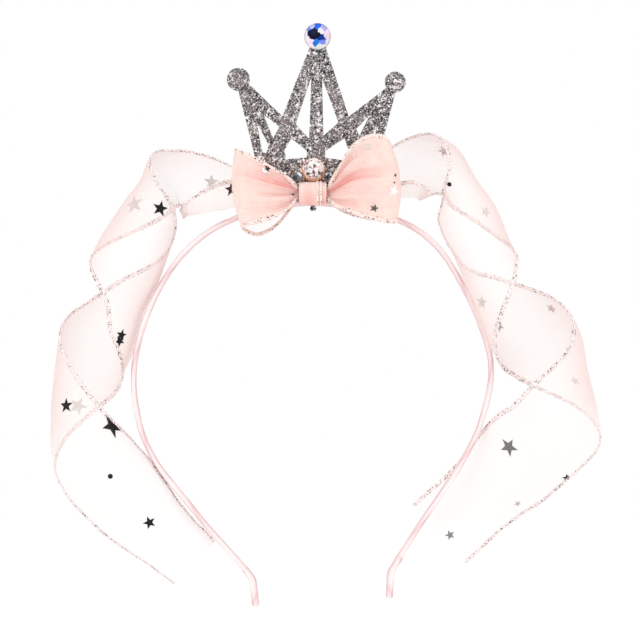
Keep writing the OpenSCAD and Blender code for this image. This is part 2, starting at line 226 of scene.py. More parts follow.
def bow_surface(rows, side, t, v):
    """A bow loop: the straight line from the low edge to the high edge at share v, pushed
    square to itself by a parabola (the bulge) and by cosines of v (the gathers). Creases start
    beside the knot and fade towards the outer fold: bell curves of v from the table of creases,
    and finer cosines. Returns the points, the lift and the painted shade of the creases."""
    s = spline(rows, t)
    low = np.stack([s[..., 0], s[..., 4], s[..., 1]], -1) + [0, KNOT_AT[1], 0]
    high = np.stack([s[..., 2], s[..., 4], s[..., 3]], -1) + [0, KNOT_AT[1], 0]
    flat = low + (high - low) * v[..., None]
    reach = np.abs(flat[..., 0])
    loose = np.clip((reach - 5.5) / 6, 0, 1) * np.clip(1.15 - reach / 30, 0, 1)
    lift = (s[..., 5] * 4 * v * (1 - v) + s[..., 6] * np.cos(2 * np.pi * BOW_PLEATS * v)
            + loose * (0.4 * np.cos(2 * np.pi * (7.3 * v + 0.03 * t) + 1.3)
                       + 0.22 * np.cos(2 * np.pi * (13.1 * v - 0.05 * t))))
    colour = 0 * lift
    for middle, spread, depth, shade_strength in LEFT_CREASES if side < 0 else RIGHT_CREASES:
        lift -= loose * depth * bell(v, middle, spread)
        # Painted shade along each crease
        colour += shade_strength * bell(v, middle, 1.3 * spread)
    return flat + grid_normals(flat) * side * lift[..., None], lift, colour


def band_surface(t, angle, grow):
    """The band's oval section carried along its middle line: half its thickness times the
    cosine of the angle out from the head, half its width times the sine backwards."""
    p = spline(BAND, t)
    d = unit(spline(BAND, t + 0.02) - spline(BAND, t - 0.02))
    across = (BAND_T / 2 + grow) * np.cos(angle)
    deep = (BAND_W / 2 + grow) * np.sin(angle)
    return np.stack([p[..., 0] - d[..., 1] * across, deep, p[..., 1] + d[..., 0] * across], -1)


def tube(path, wide, thick, half_wide, half_thick, sides):
    """An oval section carried along a path: half_wide along the unit vectors wide, half_thick
    along thick. The half sizes may change from ring to ring and from side to side."""
    a = np.linspace(0, 2 * np.pi, sides, endpoint=False)
    return (path[:, None] + wide[:, None] * (half_wide * np.cos(a))[..., None]
            + thick[:, None] * (half_thick * np.sin(a))[..., None])


def run_along(path):
    """How far along a path each of its points lies."""
    return np.concatenate([[0], np.cumsum(np.linalg.norm(np.diff(path, axis=0), axis=1))])


def even_rows(path, last, count):
    """Row numbers at equal steps along a path that is given by row numbers."""
    t = np.linspace(0, last, 1500)
    run = run_along(path(t))
    return np.interp(np.linspace(0, run[-1], count), run, t)


# Meshes

def skin(grid, wrap=False, capped=False):
    """Triangles over a grid of points. wrap joins the last column to the first, and capped
    closes the first and last ring with a fan round a new middle point."""
    n, m = grid.shape[:2]
    cols = m if wrap else m - 1
    i, j = np.meshgrid(np.arange(n - 1), np.arange(cols), indexing="ij")
    a, b = i * m + j, i * m + (j + 1) % m
    c, d = b + m, a + m
    tris = np.concatenate([np.stack([a, b, c], -1).reshape(-1, 3),
                           np.stack([a, c, d], -1).reshape(-1, 3)])
    points = grid.reshape(-1, 3)
    if capped:
        k, ring = n * m, np.arange(m)
        following = (ring + 1) % m
        end = (n - 1) * m
        first = np.stack([following, ring, np.full(m, k)], -1)
        final = np.stack([ring + end, following + end, np.full(m, k + 1)], -1)
        tris = np.concatenate([tris, first, final])
        points = np.vstack([points, grid[0].mean(0), grid[-1].mean(0)])
    return points, tris


def facing_out(points, tris):
    """Turns a closed skin's triangles over if they enclose a negative volume."""
    a, b, c = (points[tris[:, k]] for k in range(3))
    return tris if np.einsum("ij,ij->i", a, np.cross(b, c)).sum() > 0 else tris[:, ::-1]


def join(parts):
    """Several skins as one list of points and one of triangles."""
    start = np.cumsum([0] + [len(p) for p, _ in parts[:-1]])
    return np.vstack([p for p, _ in parts]), np.vstack([f + s for (_, f), s in zip(parts, start)])


def make_piece(name, points, tris, finish, stands_for=(), uv=None, tints=None, smooth=True):
    """A piece of the tiara: its mesh in metres, finish, and the nodes it stands for.
    uv holds a pair for each point, or for each corner of each triangle; tints a colour for each
    triangle."""
    mesh = bpy.data.meshes.new(name)
    mesh.vertices.add(len(points))
    mesh.vertices.foreach_set("co", (points * MM).astype(np.float32).ravel())
    mesh.loops.add(tris.size)
    mesh.loops.foreach_set("vertex_index", tris.astype(np.int32).ravel())
    mesh.polygons.add(len(tris))
    mesh.polygons.foreach_set("loop_start", np.arange(0, tris.size, 3, dtype=np.int32))
    mesh.polygons.foreach_set("use_smooth", np.full(len(tris), smooth))
    if uv is not None:
        layer = mesh.uv_layers.new(name="cloth")
        uv = uv if len(uv) == tris.size else uv[tris.ravel()]
        layer.data.foreach_set("uv", uv.astype(np.float32).ravel())
    if tints is not None:
        layer = mesh.color_attributes.new("tint", "FLOAT_COLOR", "CORNER")
        layer.data.foreach_set("color", np.repeat(tints, 3, axis=0).astype(np.float32).ravel())
    mesh.update(calc_edges=True)
    mesh.materials.append(finish)
    piece = bpy.data.objects.new(name, mesh)
    bpy.context.scene.collection.objects.link(piece)
    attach(piece, "root")
    if stands_for:
        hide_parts(*stands_for)
    return piece


def grid_uv(n, m):
    """Shares along and across a grid, as texture coordinates."""
    along, across = np.meshgrid(np.linspace(0, 1, n), np.linspace(0, 1, m), indexing="ij")
    return np.stack([along, across], -1).reshape(-1, 2)


def both_edges(grid):
    """The three columns of a grid beside each of its long edges, from the edge inwards."""
    return [grid[:, :3], grid[:, ::-1][:, :3]]


def tinted(rgb):
    """Rows of red, green, blue with an alpha of 1 added."""
    return np.concatenate([rgb, np.ones((len(rgb), 1))], 1)


def shaded(shade, tris):
    """A grey for each triangle: the mean of the shades at its three points."""
    return tinted(shade.reshape(-1)[tris].mean(1)[:, None] * np.ones(3))


# Finishes

class Value:
    """An output of a material's node. Python's operators on it add Math nodes."""

    def __init__(self, finish, socket):
        self.finish, self.socket = finish, socket

    def maths(self, operation, *inputs):
        return self.finish.node("Math", {"operation": operation}, dict(enumerate(inputs)))

    def __add__(self, other):
        return self.maths("ADD", self, other)

    def __sub__(self, other):
        return self.maths("SUBTRACT", self, other)

    def __rsub__(self, other):
        return self.maths("SUBTRACT", other, self)

    def __mul__(self, other):
        return self.maths("MULTIPLY", self, other)

    __radd__, __rmul__ = __add__, __mul__

    def __abs__(self):
        return self.maths("ABSOLUTE", self)

    def above(self, level):
        return self.maths("GREATER_THAN", self, level)

    def wave(self, turns):
        """A sine wave that repeats turns times from 0 to 1."""
        return self.maths("SINE", self * (2 * np.pi * turns))

    def steps(self, count):
        return self.maths("FLOOR", self * count)

    def fraction(self):
        return self.maths("FRACT", self)

    def ramp(self, start, stop):
        """From 0 at start to 1 at stop, and level beyond them."""
        return self.finish.node("MapRange", inputs={0: self, 1: start, 2: stop})


class Finish:
    """A material under construction, node by node."""

    def __init__(self, name):
        self.material = bpy.data.materials.new(name)
        self.material.use_nodes = True
        self.tree = self.material.node_tree
        self.tree.nodes.clear()

    def node(self, kind, settings=None, inputs=None, output=0):
        """Adds a shader node: its settings first, such as a ramp's stops, then a value or a
        link for each input. Returns the output asked for, if the node has one."""
        node = self.tree.nodes.new("ShaderNode" + kind)
        for key, value in (settings or {}).items():
            if key == "stops":
                ramp = node.color_ramp.elements
                while len(ramp) < len(value):
                    ramp.new(1)
                for stop, (place, rgb) in zip(ramp, value):
                    stop.position, stop.color = place, (*rgb, 1)
            else:
                setattr(node, key, value)
        for key, value in (inputs or {}).items():
            if isinstance(value, Value):
                self.tree.links.new(value.socket, node.inputs[key])
            else:
                node.inputs[key].default_value = value
        return Value(self, node.outputs[output]) if len(node.outputs) else None

    def mix(self, share, first, second):
        """A colour between two, each a link or red, green and blue."""
        first, second = ((*c, 1) if isinstance(c, tuple) else c for c in (first, second))
        return self.node("Mix", {"data_type": "RGBA"}, {0: share, 6: first, 7: second}, output=2)

    def place(self):
        """The place on the object, in metres."""
        return self.node("TexCoord", output=3)

    def shares(self):
        """Shares along and across the cloth."""
        split = self.node("SeparateXYZ", inputs={0: self.node("UVMap", {"uv_map": "cloth"})})
        return split, Value(self, split.socket.node.outputs[1])

    def noise(self, scale, detail=2.0):
        """A soft random value from 0 to 1, with scale clouds to the metre."""
        return self.node("TexNoise", inputs={"Vector": self.place(), "Scale": scale,
                                             "Detail": detail})

    def bump(self, height, depth):
        """The normal of a relief: the height from 0 to 1, over so many metres."""
        return self.node("Bump", inputs={"Height": height, "Distance": depth, "Strength": 1.0})

    def surface(self, **inputs):
        """Ends the material in a surface shader, with underscores for the spaces in names."""
        sockets = {key.replace("_", " "): value for key, value in inputs.items()}
        self.node("OutputMaterial", inputs={0: self.node("BsdfPrincipled", inputs=sockets)})
        return self.material


def organza(name, width, length, cover, pale, deep, back_lightening=0.0, crumple_shade=0.0, slant=0.0):
    """Sheer cloth: cover is the share of light that its threads stop, changed by waves along
    and across the weave and by a slow cloudiness. The tint, painted light and shade, takes the
    colour from pale to deep. thin is what the cover loses in the second half of the length beside
    the edge at 0, a painted lightening that lets the white through where the back of the loop
    would lie in shade; crumple is how much a painted shade of small random creases changes the
    colour, and slant how much the tint adds to the cover, as threads close up where the cloth
    turns away."""
    f = Finish(name)
    along, across = f.shares()
    threads = along.wave(length / THREAD) * 0.5 + across.wave(width / THREAD) * 0.5
    cloud = f.noise(70)
    # The tint: painted light and shade, laid on each piece of cloth
    fold = f.node("Attribute", {"attribute_name": "tint"}, output=2)
    selvedge = abs(across - 0.5).above(0.475)
    # Painted lightening: less cover at the back of the loop by its low edge, where it lies in
    # shade
    painted_lightening = along.ramp(0.5, 0.62) * across.ramp(0.4, 0.2) * back_lightening
    gained = cloud * 0.1 + selvedge * 0.15 + fold * slant
    # Painted shade of small random creases, with the cloudiness
    small_shade_and_cloud = (f.noise(240, 4.0) - 0.5) * crumple_shade + cloud * 0.12 - 0.06
    return f.surface(
        Base_Color=f.mix(fold + small_shade_and_cloud, pale, deep),
        Roughness=0.55,
        Alpha=threads * 0.025 + gained + (cover - 0.05) - painted_lightening,
        Normal=f.bump(threads, 0.00003),
        Sheen_Weight=0.25,
        Specular_IOR_Level=0.3,
    )


def metal_thread(name, core, glint):
    """The hem's metallic thread: short flecks, of the core's colour, of pale metal, or dark
    glints where a random number for each fleck is high. A quarter of the size of a sine of two
    turns round the cord is added to it, so that the glints, whose share is at most glint, lie
    in four rows."""
    f = Finish(name)
    along, across = f.shares()
    cell = f.node("CombineXYZ", inputs={0: along.steps(FLECKS_LONG),
                                        1: across.steps(FLECKS_ROUND)})
    other = f.node("VectorMath", {"operation": "ADD"}, {0: cell, 1: (31.5, 7.5, 0)})
    chance, dark = (f.node("TexWhiteNoise", {"noise_dimensions": "2D"}, {"Vector": number})
                    for number in (cell, other))
    picked = (chance + abs(across.wave(2)) * 0.25).above(1.25 - glint)
    shade = f.node("ValToRGB", {"stops": [(0, (0.03, 0.025, 0.028)), (0.45, (0.17, 0.14, 0.14)),
                                          (0.9, (0.6, 0.52, 0.52))]}, {0: dark})
    pale = f.mix(dark.above(0.9), core, (1.0, 0.95, 0.92))
    return f.surface(Base_Color=f.mix(picked, pale, shade), Roughness=dark * 0.3 + 0.3,
                     Metallic=picked * 0.4, Specular_IOR_Level=0.3)


def satin():
    """Wound satin: a cosine of the way round is 0 on the head's side and 1 outside, and wanders
    a little with the winding. By it run painted light and shade: a dark painted shade, a pink
    rail, a pale painted sheen in the middle and a narrow dark painted shade. A rosy painted
    shade comes and goes with each turn, darkest at the lap."""
    f = Finish("wound_satin")
    turn, around = f.shares()
    blur = f.noise(60)
    lap = (turn + blur * 0.05).fraction()
    wander = (blur - 0.5) * 0.24 + (turn + 0.2).wave(1) * 0.05
    across = (around + 0.25).wave(1) * 0.5 + 0.5 + wander
    # Painted sheen and shade across the band: pale in the middle, dark near both sides
    sheen_and_shade_rails = f.node("ValToRGB", {"stops": [
        (0, (0.93, 0.7, 0.71)), (0.03, (0.42, 0.31, 0.33)), (0.1, (0.8, 0.53, 0.56)),
        (0.22, (0.94, 0.76, 0.76)), (0.34, (0.99, 0.91, 0.9)), (0.42, (0.93, 0.74, 0.75)),
        (0.5, (1.0, 0.96, 0.95)), (0.7, (1.0, 0.93, 0.92)), (0.86, (0.94, 0.76, 0.76)),
        (0.94, (0.44, 0.35, 0.37)), (0.98, (0.93, 0.72, 0.73))]}, {0: across})
    # Painted shade that comes and goes with each turn, darkest at the lap
    shade = f.node("ValToRGB", {"stops": [
        (0, (0.72, 0.38, 0.42)), (0.04, (0.9, 0.6, 0.62)), (0.2, (0.98, 0.84, 0.84)),
        (0.45, (1.0, 0.95, 0.95)), (0.8, (0.97, 0.82, 0.82)), (1, (0.72, 0.38, 0.42))]}, {0: lap})
    colour = f.node("Mix", {"data_type": "RGBA", "blend_type": "MULTIPLY"},
                    {0: 0.6, 6: sheen_and_shade_rails, 7: shade}, output=2)
    threads = turn.wave(5) * 0.5 + turn.wave(9) * 0.5
    return f.surface(
        Base_Color=f.mix(threads * 0.05 + 0.05, colour, (1.0, 0.93, 0.92)),
        Roughness=blur * 0.2 + 0.24,
        Normal=f.bump(threads, 0.00004),
        Sheen_Weight=0.3,
    )


def glitter():
    """Glitter sheet with painted reflections, a little rosy in places as a painted reflection of
    the pink cloth: cells 0.45 mm across, each with a random painted brightness from near black to
    silver and its own tilt. About one in seventeen of a second set of cells, 1.1 mm across, is a
    white flake over them, a painted glint."""
    f = Finish("silver_glitter")
    place = f.place()
    small = f.node("TexVoronoi", inputs={"Vector": place, "Scale": 2200.0}, output=1)
    large = f.node("TexVoronoi", inputs={"Vector": place, "Scale": 900.0}, output=1)
    chance = f.node("SeparateColor", inputs={0: small})
    # Painted glints: white flakes on about one in seventeen of the larger cells
    painted_glint = f.node("SeparateColor", inputs={0: large}).above(0.94)
    # Painted reflections: each small cell near black, grey or silver
    colour = f.node("ValToRGB", {"stops": [
        (0, (0.006, 0.005, 0.005)), (0.27, (0.03, 0.027, 0.027)), (0.36, (0.15, 0.137, 0.138)),
        (0.64, (0.24, 0.219, 0.221)), (0.84, (0.45, 0.415, 0.418)), (0.93, (1.0, 0.96, 0.95))]},
        {0: chance})
    # Painted rosy reflection of the cloth, in places
    colour = f.mix(f.noise(130).ramp(0.45, 0.75) * 0.3, colour, (0.62, 0.5, 0.49))
    tilt = f.node("VectorMath", {"operation": "SUBTRACT"}, {0: small, 1: (0.5, 0.5, 0.5)})
    tilt = f.node("VectorMath", {"operation": "SCALE"}, {0: tilt, "Scale": 0.9})
    square = f.node("NewGeometry", output=1)
    normal = f.node("VectorMath", {"operation": "ADD"}, {0: square, 1: tilt})
    normal = f.node("VectorMath", {"operation": "NORMALIZE"}, {0: normal})
    return f.surface(Base_Color=f.mix(painted_glint * 0.7, colour, (1.0, 0.97, 0.97)),
                     Metallic=0.75, Roughness=chance * 0.25 + 0.2, Normal=normal)


def tint_finish(name, metal, rough, coat, blend, shine):
    """A finish coloured triangle by triangle, for foils, flakes and cut stones. blend is how
    much of a pale cloudiness is mixed in."""
    f = Finish(name)
    tint = f.node("Attribute", {"attribute_name": "tint"})
    blur = f.noise(900)
    return f.surface(Base_Color=f.mix(blur * blend, tint, (0.9, 0.9, 0.95)),
                     Metallic=metal, Roughness=blur * 0.06 + rough, Coat_Weight=coat,
                     Coat_Roughness=0.03, Specular_IOR_Level=shine)


def rose_gold():
    """Worn gilt, with a painted highlight: paler in the upper half of the cup."""
    f = Finish("rose_gold")
    wear = f.noise(1500, 4.0)
    height = f.node("SeparateXYZ", inputs={0: f.place()}, output=2)
    # Painted highlight: paler towards the top of the cup; the wear is random
    return f.surface(Base_Color=f.mix(height.ramp(0.0125, 0.0165) * 0.75 + wear * 0.2,
                                      (0.66, 0.27, 0.09), (1.0, 0.84, 0.76)),
                     Metallic=0.9, Roughness=wear * 0.25 + 0.12, Normal=f.bump(wear, 0.00004))


def felt():
    """Plain felt: fine fibres change its colour and its height."""
    f = Finish("plain_felt")
    fibres = f.noise(2600, 6.0)
    return f.surface(Base_Color=f.mix(fibres, (0.72, 0.62, 0.6), (0.97, 0.92, 0.9)),
                     Roughness=0.95, Normal=f.bump(fibres, 0.0002), Sheen_Weight=0.4)


def studio_floor():
    """A plain pale floor, a little cloudy."""
    f = Finish("studio_floor")
    grain = f.noise(9)
    return f.surface(Base_Color=f.mix(grain, (0.975, 0.972, 0.97), (1.0, 1.0, 1.0)),
                     Roughness=grain * 0.05 + 0.8, Specular_IOR_Level=0.0)


# Cloth

def ribbon_tail(name, rows, side, stars, dots):
    """The sheer strip over the tail's surface, its two metal-thread hems, and its foil stars.
    The tint, a painted shade, is 1 less the square of how far the cloth faces front or back, so
    it is deepest where the curl turns, and fades out towards both ends."""
    last = len(rows) - 1
    t = even_rows(lambda t: tail_surface(rows, side, t, 0.5)[0], last, TAIL_MESH[0])
    v = np.linspace(0, 1, TAIL_MESH[1])
    grid, out = tail_surface(rows, side, t[:, None], v[None])
    points, tris = skin(grid)
    # Painted shade where the cloth turns away from the front, faded towards both ends
    turned = (1 - out[..., 1] ** 2) * np.clip(np.minimum(t - 3.5, last - 3 - t), 0.1, 1)[:, None]
    cloth = make_piece(name, points, tris, TAIL_FINISH, [name.replace("_cloth", "")],
                       uv=grid_uv(*TAIL_MESH), tints=shaded(turned, tris))
    hem = hems(name.replace("_cloth", "_hem"), both_edges(grid), HEM_W, HEM_T, TAIL_HEM)
    share = np.linspace(0, 1, len(t))
    stars, dots = ([[np.interp(row, t, share), *others] for row, *others in table]
                   for table in (stars, dots))
    foils = foil_shapes(name.replace("_cloth", "_stars"), grid, out, stars, dots)


def hems(name, strips, wide, thick, finish):
    """Flattened cords, 0.36 of their width inside the first column of each strip of points; the
    third column says which way the cloth lies. Two rows of stitches, sines of the run over the
    stitch and half a turn apart, swell the cord in turn, and it tapers off over its first and
    last half millimetre."""
    a = np.linspace(0, 2 * np.pi, HEM_SIDES, endpoint=False)
    parts, uvs = [], []
    for strip in strips:
        run = run_along(strip[:, 0])
        count = int(run[-1] / HEM_STEP)
        even = np.linspace(0, run[-1], count)
        edge, inner = (np.stack([np.interp(even, run, strip[:, c, k]) for k in range(3)], -1)
                       for c in (0, 2))
        inward = unit(inner - edge)
        square = unit(np.cross(np.gradient(edge, axis=0), inward))
        inward = unit(np.cross(square, unit(np.gradient(edge, axis=0))))
        stitch = np.sin(2 * np.pi * even[:, None] / STITCH + np.where(np.cos(a) > 0, 0, np.pi))
        half_thick = thick / 2 * (1 + 0.3 * stitch)
        half_wide = wide / 2 * (1 + 0.14 * stitch)
        taper = np.clip(np.minimum(even, even[-1] - even) / 0.5, 0.3, 1)[:, None]
        grid = tube(edge + inward * wide * 0.36, inward, square, half_wide * taper,
                    half_thick * taper, HEM_SIDES)
        points, tris = skin(grid, wrap=True, capped=True)
        tris = facing_out(points - points.mean(0), tris)
        parts.append((points, tris))
        ring = np.repeat(np.arange(count) * HEM_STEP / HEM_UNIT, HEM_SIDES)
        around = np.tile((np.arange(HEM_SIDES) + 0.5) / HEM_SIDES, count)
        uvs.append(np.stack([np.concatenate([ring, [0, ring[-1]]]),
                             np.concatenate([around, [0, 0]])], -1))
    points, tris = join(parts)
    return make_piece(name, points, tris, finish, uv=np.vstack(uvs))


def on_grid(grid, along, across):
    """Points of a grid at shares along and across it, in a straight line between its own."""
    n, m = grid.shape[:2]
    i, j = np.clip(along, 0, 1) * (n - 1), np.clip(across, 0, 1) * (m - 1)
    i0, j0 = np.minimum(i.astype(int), n - 2), np.minimum(j.astype(int), m - 2)
    f, g = (i - i0)[..., None], (j - j0)[..., None]
    return ((grid[i0, j0] * (1 - f) + grid[i0 + 1, j0] * f) * (1 - g)
            + (grid[i0, j0 + 1] * (1 - f) + grid[i0 + 1, j0 + 1] * f) * g)


def foil_shapes(name, grid, out, stars, dots=()):
    """Thin foil plates that follow the cloth. A star's outline is ten points, every second one
    on a smaller circle, and a dot's is sixteen points of one circle. Each outline is turned
    into shares of the grid, less the part of the step across that leans along it, and lifted
    off along out."""
    parts, tints = [], []
    plates = [(*star, 10, STAR_WAIST) for star in stars]
    plates += [(u, v, radius, 0, painted_reflection, 16, 1.0) for u, v, radius, painted_reflection in dots]
    du, dv = 0.004, 0.02
    for u, v, radius, turn, painted_reflection, corners, waist in plates:
        here, ahead, beside = (on_grid(grid, np.array(a), np.array(b)) for a, b in
                               ((u, v), (u + du, v), (u, v + dv)))
        along, across = (ahead - here) / du, (beside - here) / dv
        lean = along @ across / (along @ along)
        squared = np.linalg.norm(across - lean * along)
        a = 2 * np.pi * np.arange(corners) / corners + np.radians(turn)
        r = radius * np.where(np.arange(corners) % 2, waist, 1.0) * np.array([[0.0], [0.5], [1.0]])
        up = r * np.sin(a) / squared
        over = r * np.cos(a) / np.linalg.norm(along) - lean * up
        p = on_grid(grid, u + over, v + up)
        q = on_grid(out, u + over, v + up)
        shell = np.concatenate([(p + q * FOIL_FRONT)[[1, 2]], (p + q * FOIL_BACK)[[2, 1]]])
        points, tris = skin(shell, wrap=True, capped=True)
        parts.append((points, facing_out(points - points.mean(0), tris)))
        # The foil's brightness is a painted reflection
        tints.append(np.full((len(tris), 3), painted_reflection) * [1, 0.95, 0.96])
    points, tris = join(parts)
    return make_piece(name, points, tris, FOIL_FINISH, tints=tinted(np.vstack(tints)),
                      smooth=False)


def bow_loop(name, rows, side, stars, finish):
    """One loop of the bow with its stars and its hems, which leave the cloth's two ends bare
    inside the knot. The tint is a painted shade that deepens in the creases, in the valleys of
    the gathers and towards the knot."""
    last = len(rows) - 1
    t, v = np.meshgrid(np.linspace(0, last, BOW_MESH[0]), np.linspace(0, 1, BOW_MESH[1]),
                       indexing="ij")
    grid, lift, crease_shade = bow_surface(rows, side, t, v)
    out = grid_normals(grid) * side
    reach = np.abs(grid[..., 0])
    near = np.clip(1.3 - reach / 21, 0, 1)
    # Painted shade: in the creases, in the valleys of the gathers and towards the knot
    fold = np.clip(0.1 + 0.6 * crease_shade * np.clip(2 - reach / 15, 0, 1) - 0.06 * lift * near
                   + 0.22 * near**2, 0, 1)
    points, tris = skin(grid)
    cloth = make_piece(name + "_cloth", points, tris, finish, [name],
                       uv=grid_uv(*BOW_MESH), tints=shaded(fold, tris))
    bare = 12
    hem = hems(name + "_hem", both_edges(grid[bare:-bare]), HEM_W, HEM_T, BOW_HEM)
    foils = foil_shapes(name + "_stars", grid, out,
                        [[row / last, *others] for row, *others in stars])


def knot_sleeve():
    """The knot: an oval ring across the bow, wider at both mouths by the square of the share
    across, with two ridges, bell curves of that share, that run round its right half under
    metal-thread hems, and with low waves."""
    x = np.linspace(-1, 1, KNOT_MESH[0])[:, None]
    a = np.linspace(0, 2 * np.pi, KNOT_MESH[1], endpoint=False)[None]
    pleat = (sum(height * bell(x, middle, spread) for middle, spread, height in KNOT_RIDGES)
             + 0.06 * np.cos(2 * np.pi * 2.2 * x + 0.6 * np.sin(a)))
    flare = 0.25 * x**2
    grid = KNOT_AT + np.stack(np.broadcast_arrays(
        x * KNOT_W / 2, (KNOT_HALF[0] + pleat + flare) * np.sin(a),
        (KNOT_HALF[1] + pleat - 0.6 * flare) * np.cos(a)), -1)
    points, tris = skin(grid, wrap=True)
    tris = facing_out(points - KNOT_AT, tris)
    ridge = sum(bell(x, middle, spread) for middle, spread, _ in KNOT_RIDGES)
    # Painted light and shade: paler on top, darker towards the bottom, and paler along the ridges
    fold = 0.3 - 0.3 * ridge - 0.34 * np.cos(a) + 0.12 * np.cos(2 * np.pi * x + 2)
    cloth = make_piece("knot_cloth", points, tris, KNOT_FINISH, ["knot"],
                       uv=grid_uv(*KNOT_MESH), tints=shaded(fold.clip(0, 1), tris))
    ring = np.concatenate([grid, grid[:, :1]], 1).transpose(1, 0, 2)
    lifted = KNOT_AT + (ring - KNOT_AT) * [1, 1.05, 1.05]
    hem = hems("knot_hem", [lifted[:, 41:44], lifted[:, 49:52]], 0.8, 0.3, BOW_HEM)


# Band

def lap_uv(tris, turns, around):
    """Texture coordinates of a wound tube: turns of the winding and share of the way round at
    each point, both corrected on the triangles that close the tube, so that no triangle spans
    a whole turn."""
    corner, share = turns[tris], around[tris]
    closing = corner < corner.max(1, keepdims=True) - 0.5
    return np.stack([(corner + closing).ravel(), (share + closing).ravel()], -1)


def wound_tube(name, t, grow, pitch, node):
    """A closed tube on the band's section: the winding's turn is the run along the band over
    the pitch plus the share of the way round, and each lap stands proud by the cube of what is
    left of its turn."""
    a = np.linspace(0, 2 * np.pi, BAND_SIDES, endpoint=False)[None]
    run = run_along(band_surface(t, 0 * t, 0.0))[:, None]
    turn = run / pitch + a / (2 * np.pi)
    proud = LAP_HEIGHT * (1 - turn % 1) ** 3
    grid = band_surface(t[:, None] + 0 * a, a + 0 * run, grow[:, None] + proud)
    points, tris = skin(grid, wrap=True, capped=True)
    tris = facing_out(points - points.mean(0), tris)
    turns = np.concatenate([turn.reshape(-1), [turn[0].mean(), turn[-1].mean()]])
    around = np.concatenate([np.tile(a[0] / (2 * np.pi), len(t)), [0.5, 0.5]])
    return make_piece(name, points, tris, SATIN_FINISH, [node],
                      uv=lap_uv(tris, turns, around))


def band_and_caps():
    """The wound band, and a sleeve over each of its ends: a tip rounded by a quarter circle,
    a straight wall, and a mouth drawn in a little."""
    last = len(BAND) - 1
    t = even_rows(lambda t: spline(BAND, t), last, BAND_RINGS)
    t = t[(t > TIP_GAP) & (t < last - TIP_GAP)]
    wound_tube("headband_winding", t, np.zeros(len(t)), BAND_PITCH, "headband")
    a = np.radians(np.linspace(6, 90, 9))
    wall = np.linspace(TIP_GAP * 1.3, CAP_MOUTH, 40)
    t = np.concatenate([TIP_GAP * (1 - np.cos(a)), wall, [CAP_MOUTH + 0.02]])
    grow = np.concatenate([CAP_WALL - BAND_T / 2 * (1 - np.sin(a)),
                           np.full(len(wall), CAP_WALL), [0.2]])
    wound_tube("end_cap_left_winding", t, grow, CAP_PITCH, "end_cap_left")
    wound_tube("end_cap_right_winding", last - t, grow, CAP_PITCH, "end_cap_right")


# Crown and stones

def leaf_flakes(name, carriers, count, seed):
    """Loose glitter: flat six-sided leaves on random points of the carriers' faces, chosen by
    area. Each is two low pyramids on one hexagon, tilted at random from the face, and has one
    of five random brightnesses, painted glints and reflections."""
    lift, half_thick, tilt = 0.06, 0.02, 0.28
    rng = np.random.default_rng(seed)
    corners = []
    for carrier in carriers:
        mesh = nodes[carrier].data
        mesh.calc_loop_triangles()
        co = np.zeros(len(mesh.vertices) * 3)
        mesh.vertices.foreach_get("co", co)
        index = np.zeros(len(mesh.loop_triangles) * 3, int)
        mesh.loop_triangles.foreach_get("vertices", index)
        corners.append(co.reshape(-1, 3)[index.reshape(-1, 3)] / MM)
    corners = np.vstack(corners)
    cross = np.cross(corners[:, 1] - corners[:, 0], corners[:, 2] - corners[:, 0])
    area = np.linalg.norm(cross, axis=1)
    pick = rng.choice(len(area), count, p=area / area.sum())
    w = rng.random((count, 2))
    w = np.where(w.sum(1, keepdims=True) > 1, 1 - w, w)
    base = (corners[pick, 0] + w[:, :1] * (corners[pick, 1] - corners[pick, 0])
            + w[:, 1:] * (corners[pick, 2] - corners[pick, 0]))
    square = unit(unit(cross[pick]) + rng.normal(0, tilt, (count, 3)))
    first = unit(np.cross(square, rng.normal(size=(count, 3))))
    second = np.cross(square, first)
    radius = rng.uniform(0.12, 0.26, (count, 1, 1))
    a = 2 * np.pi * np.arange(6) / 6
    middle = base + square * lift
    rim = middle[:, None] + radius * (first[:, None] * np.cos(a)[:, None]
                                      + second[:, None] * np.sin(a)[:, None])
    tips = [(middle + square * height)[:, None] for height in (half_thick, -half_thick)]
    points = np.concatenate([rim, *tips], 1)
    k, k2 = np.arange(6), (np.arange(6) + 1) % 6
    leaf = np.concatenate([np.stack([k, k2, np.full(6, 6)], -1),
                           np.stack([k2, k, np.full(6, 7)], -1)])
    tris = (leaf[None] + 8 * np.arange(count)[:, None, None]).reshape(-1, 3)
    # Painted reflections and glints: each flake near black, grey or white
    shade = rng.choice([0.01, 0.07, 0.26, 0.5, 1.0], count, p=[0.3, 0.17, 0.26, 0.12, 0.15])
    tint = shade[:, None] * (1 - rng.random((count, 3)) * [0.0, 0.08, 0.06])
    return make_piece(name, points.reshape(-1, 3), tris, FLAKE_FINISH,
                      tints=tinted(np.repeat(tint, 12, axis=0)), smooth=False)


def crown_place(p):
    """From the crown's own plane (right, up, out to the front) to the part's frame."""
    c, s = np.cos(CROWN_TURN), np.sin(CROWN_TURN)
    x, z, y = p[..., 0], p[..., 1], -p[..., 2]
    return np.stack([x * c + y * s, -x * s + y * c, z], -1)


def upright_place(p):
    """From an upright plane (right, up, out to the front) to the part's frame."""
    return np.stack([p[..., 0], -p[..., 2], p[..., 1]], -1)


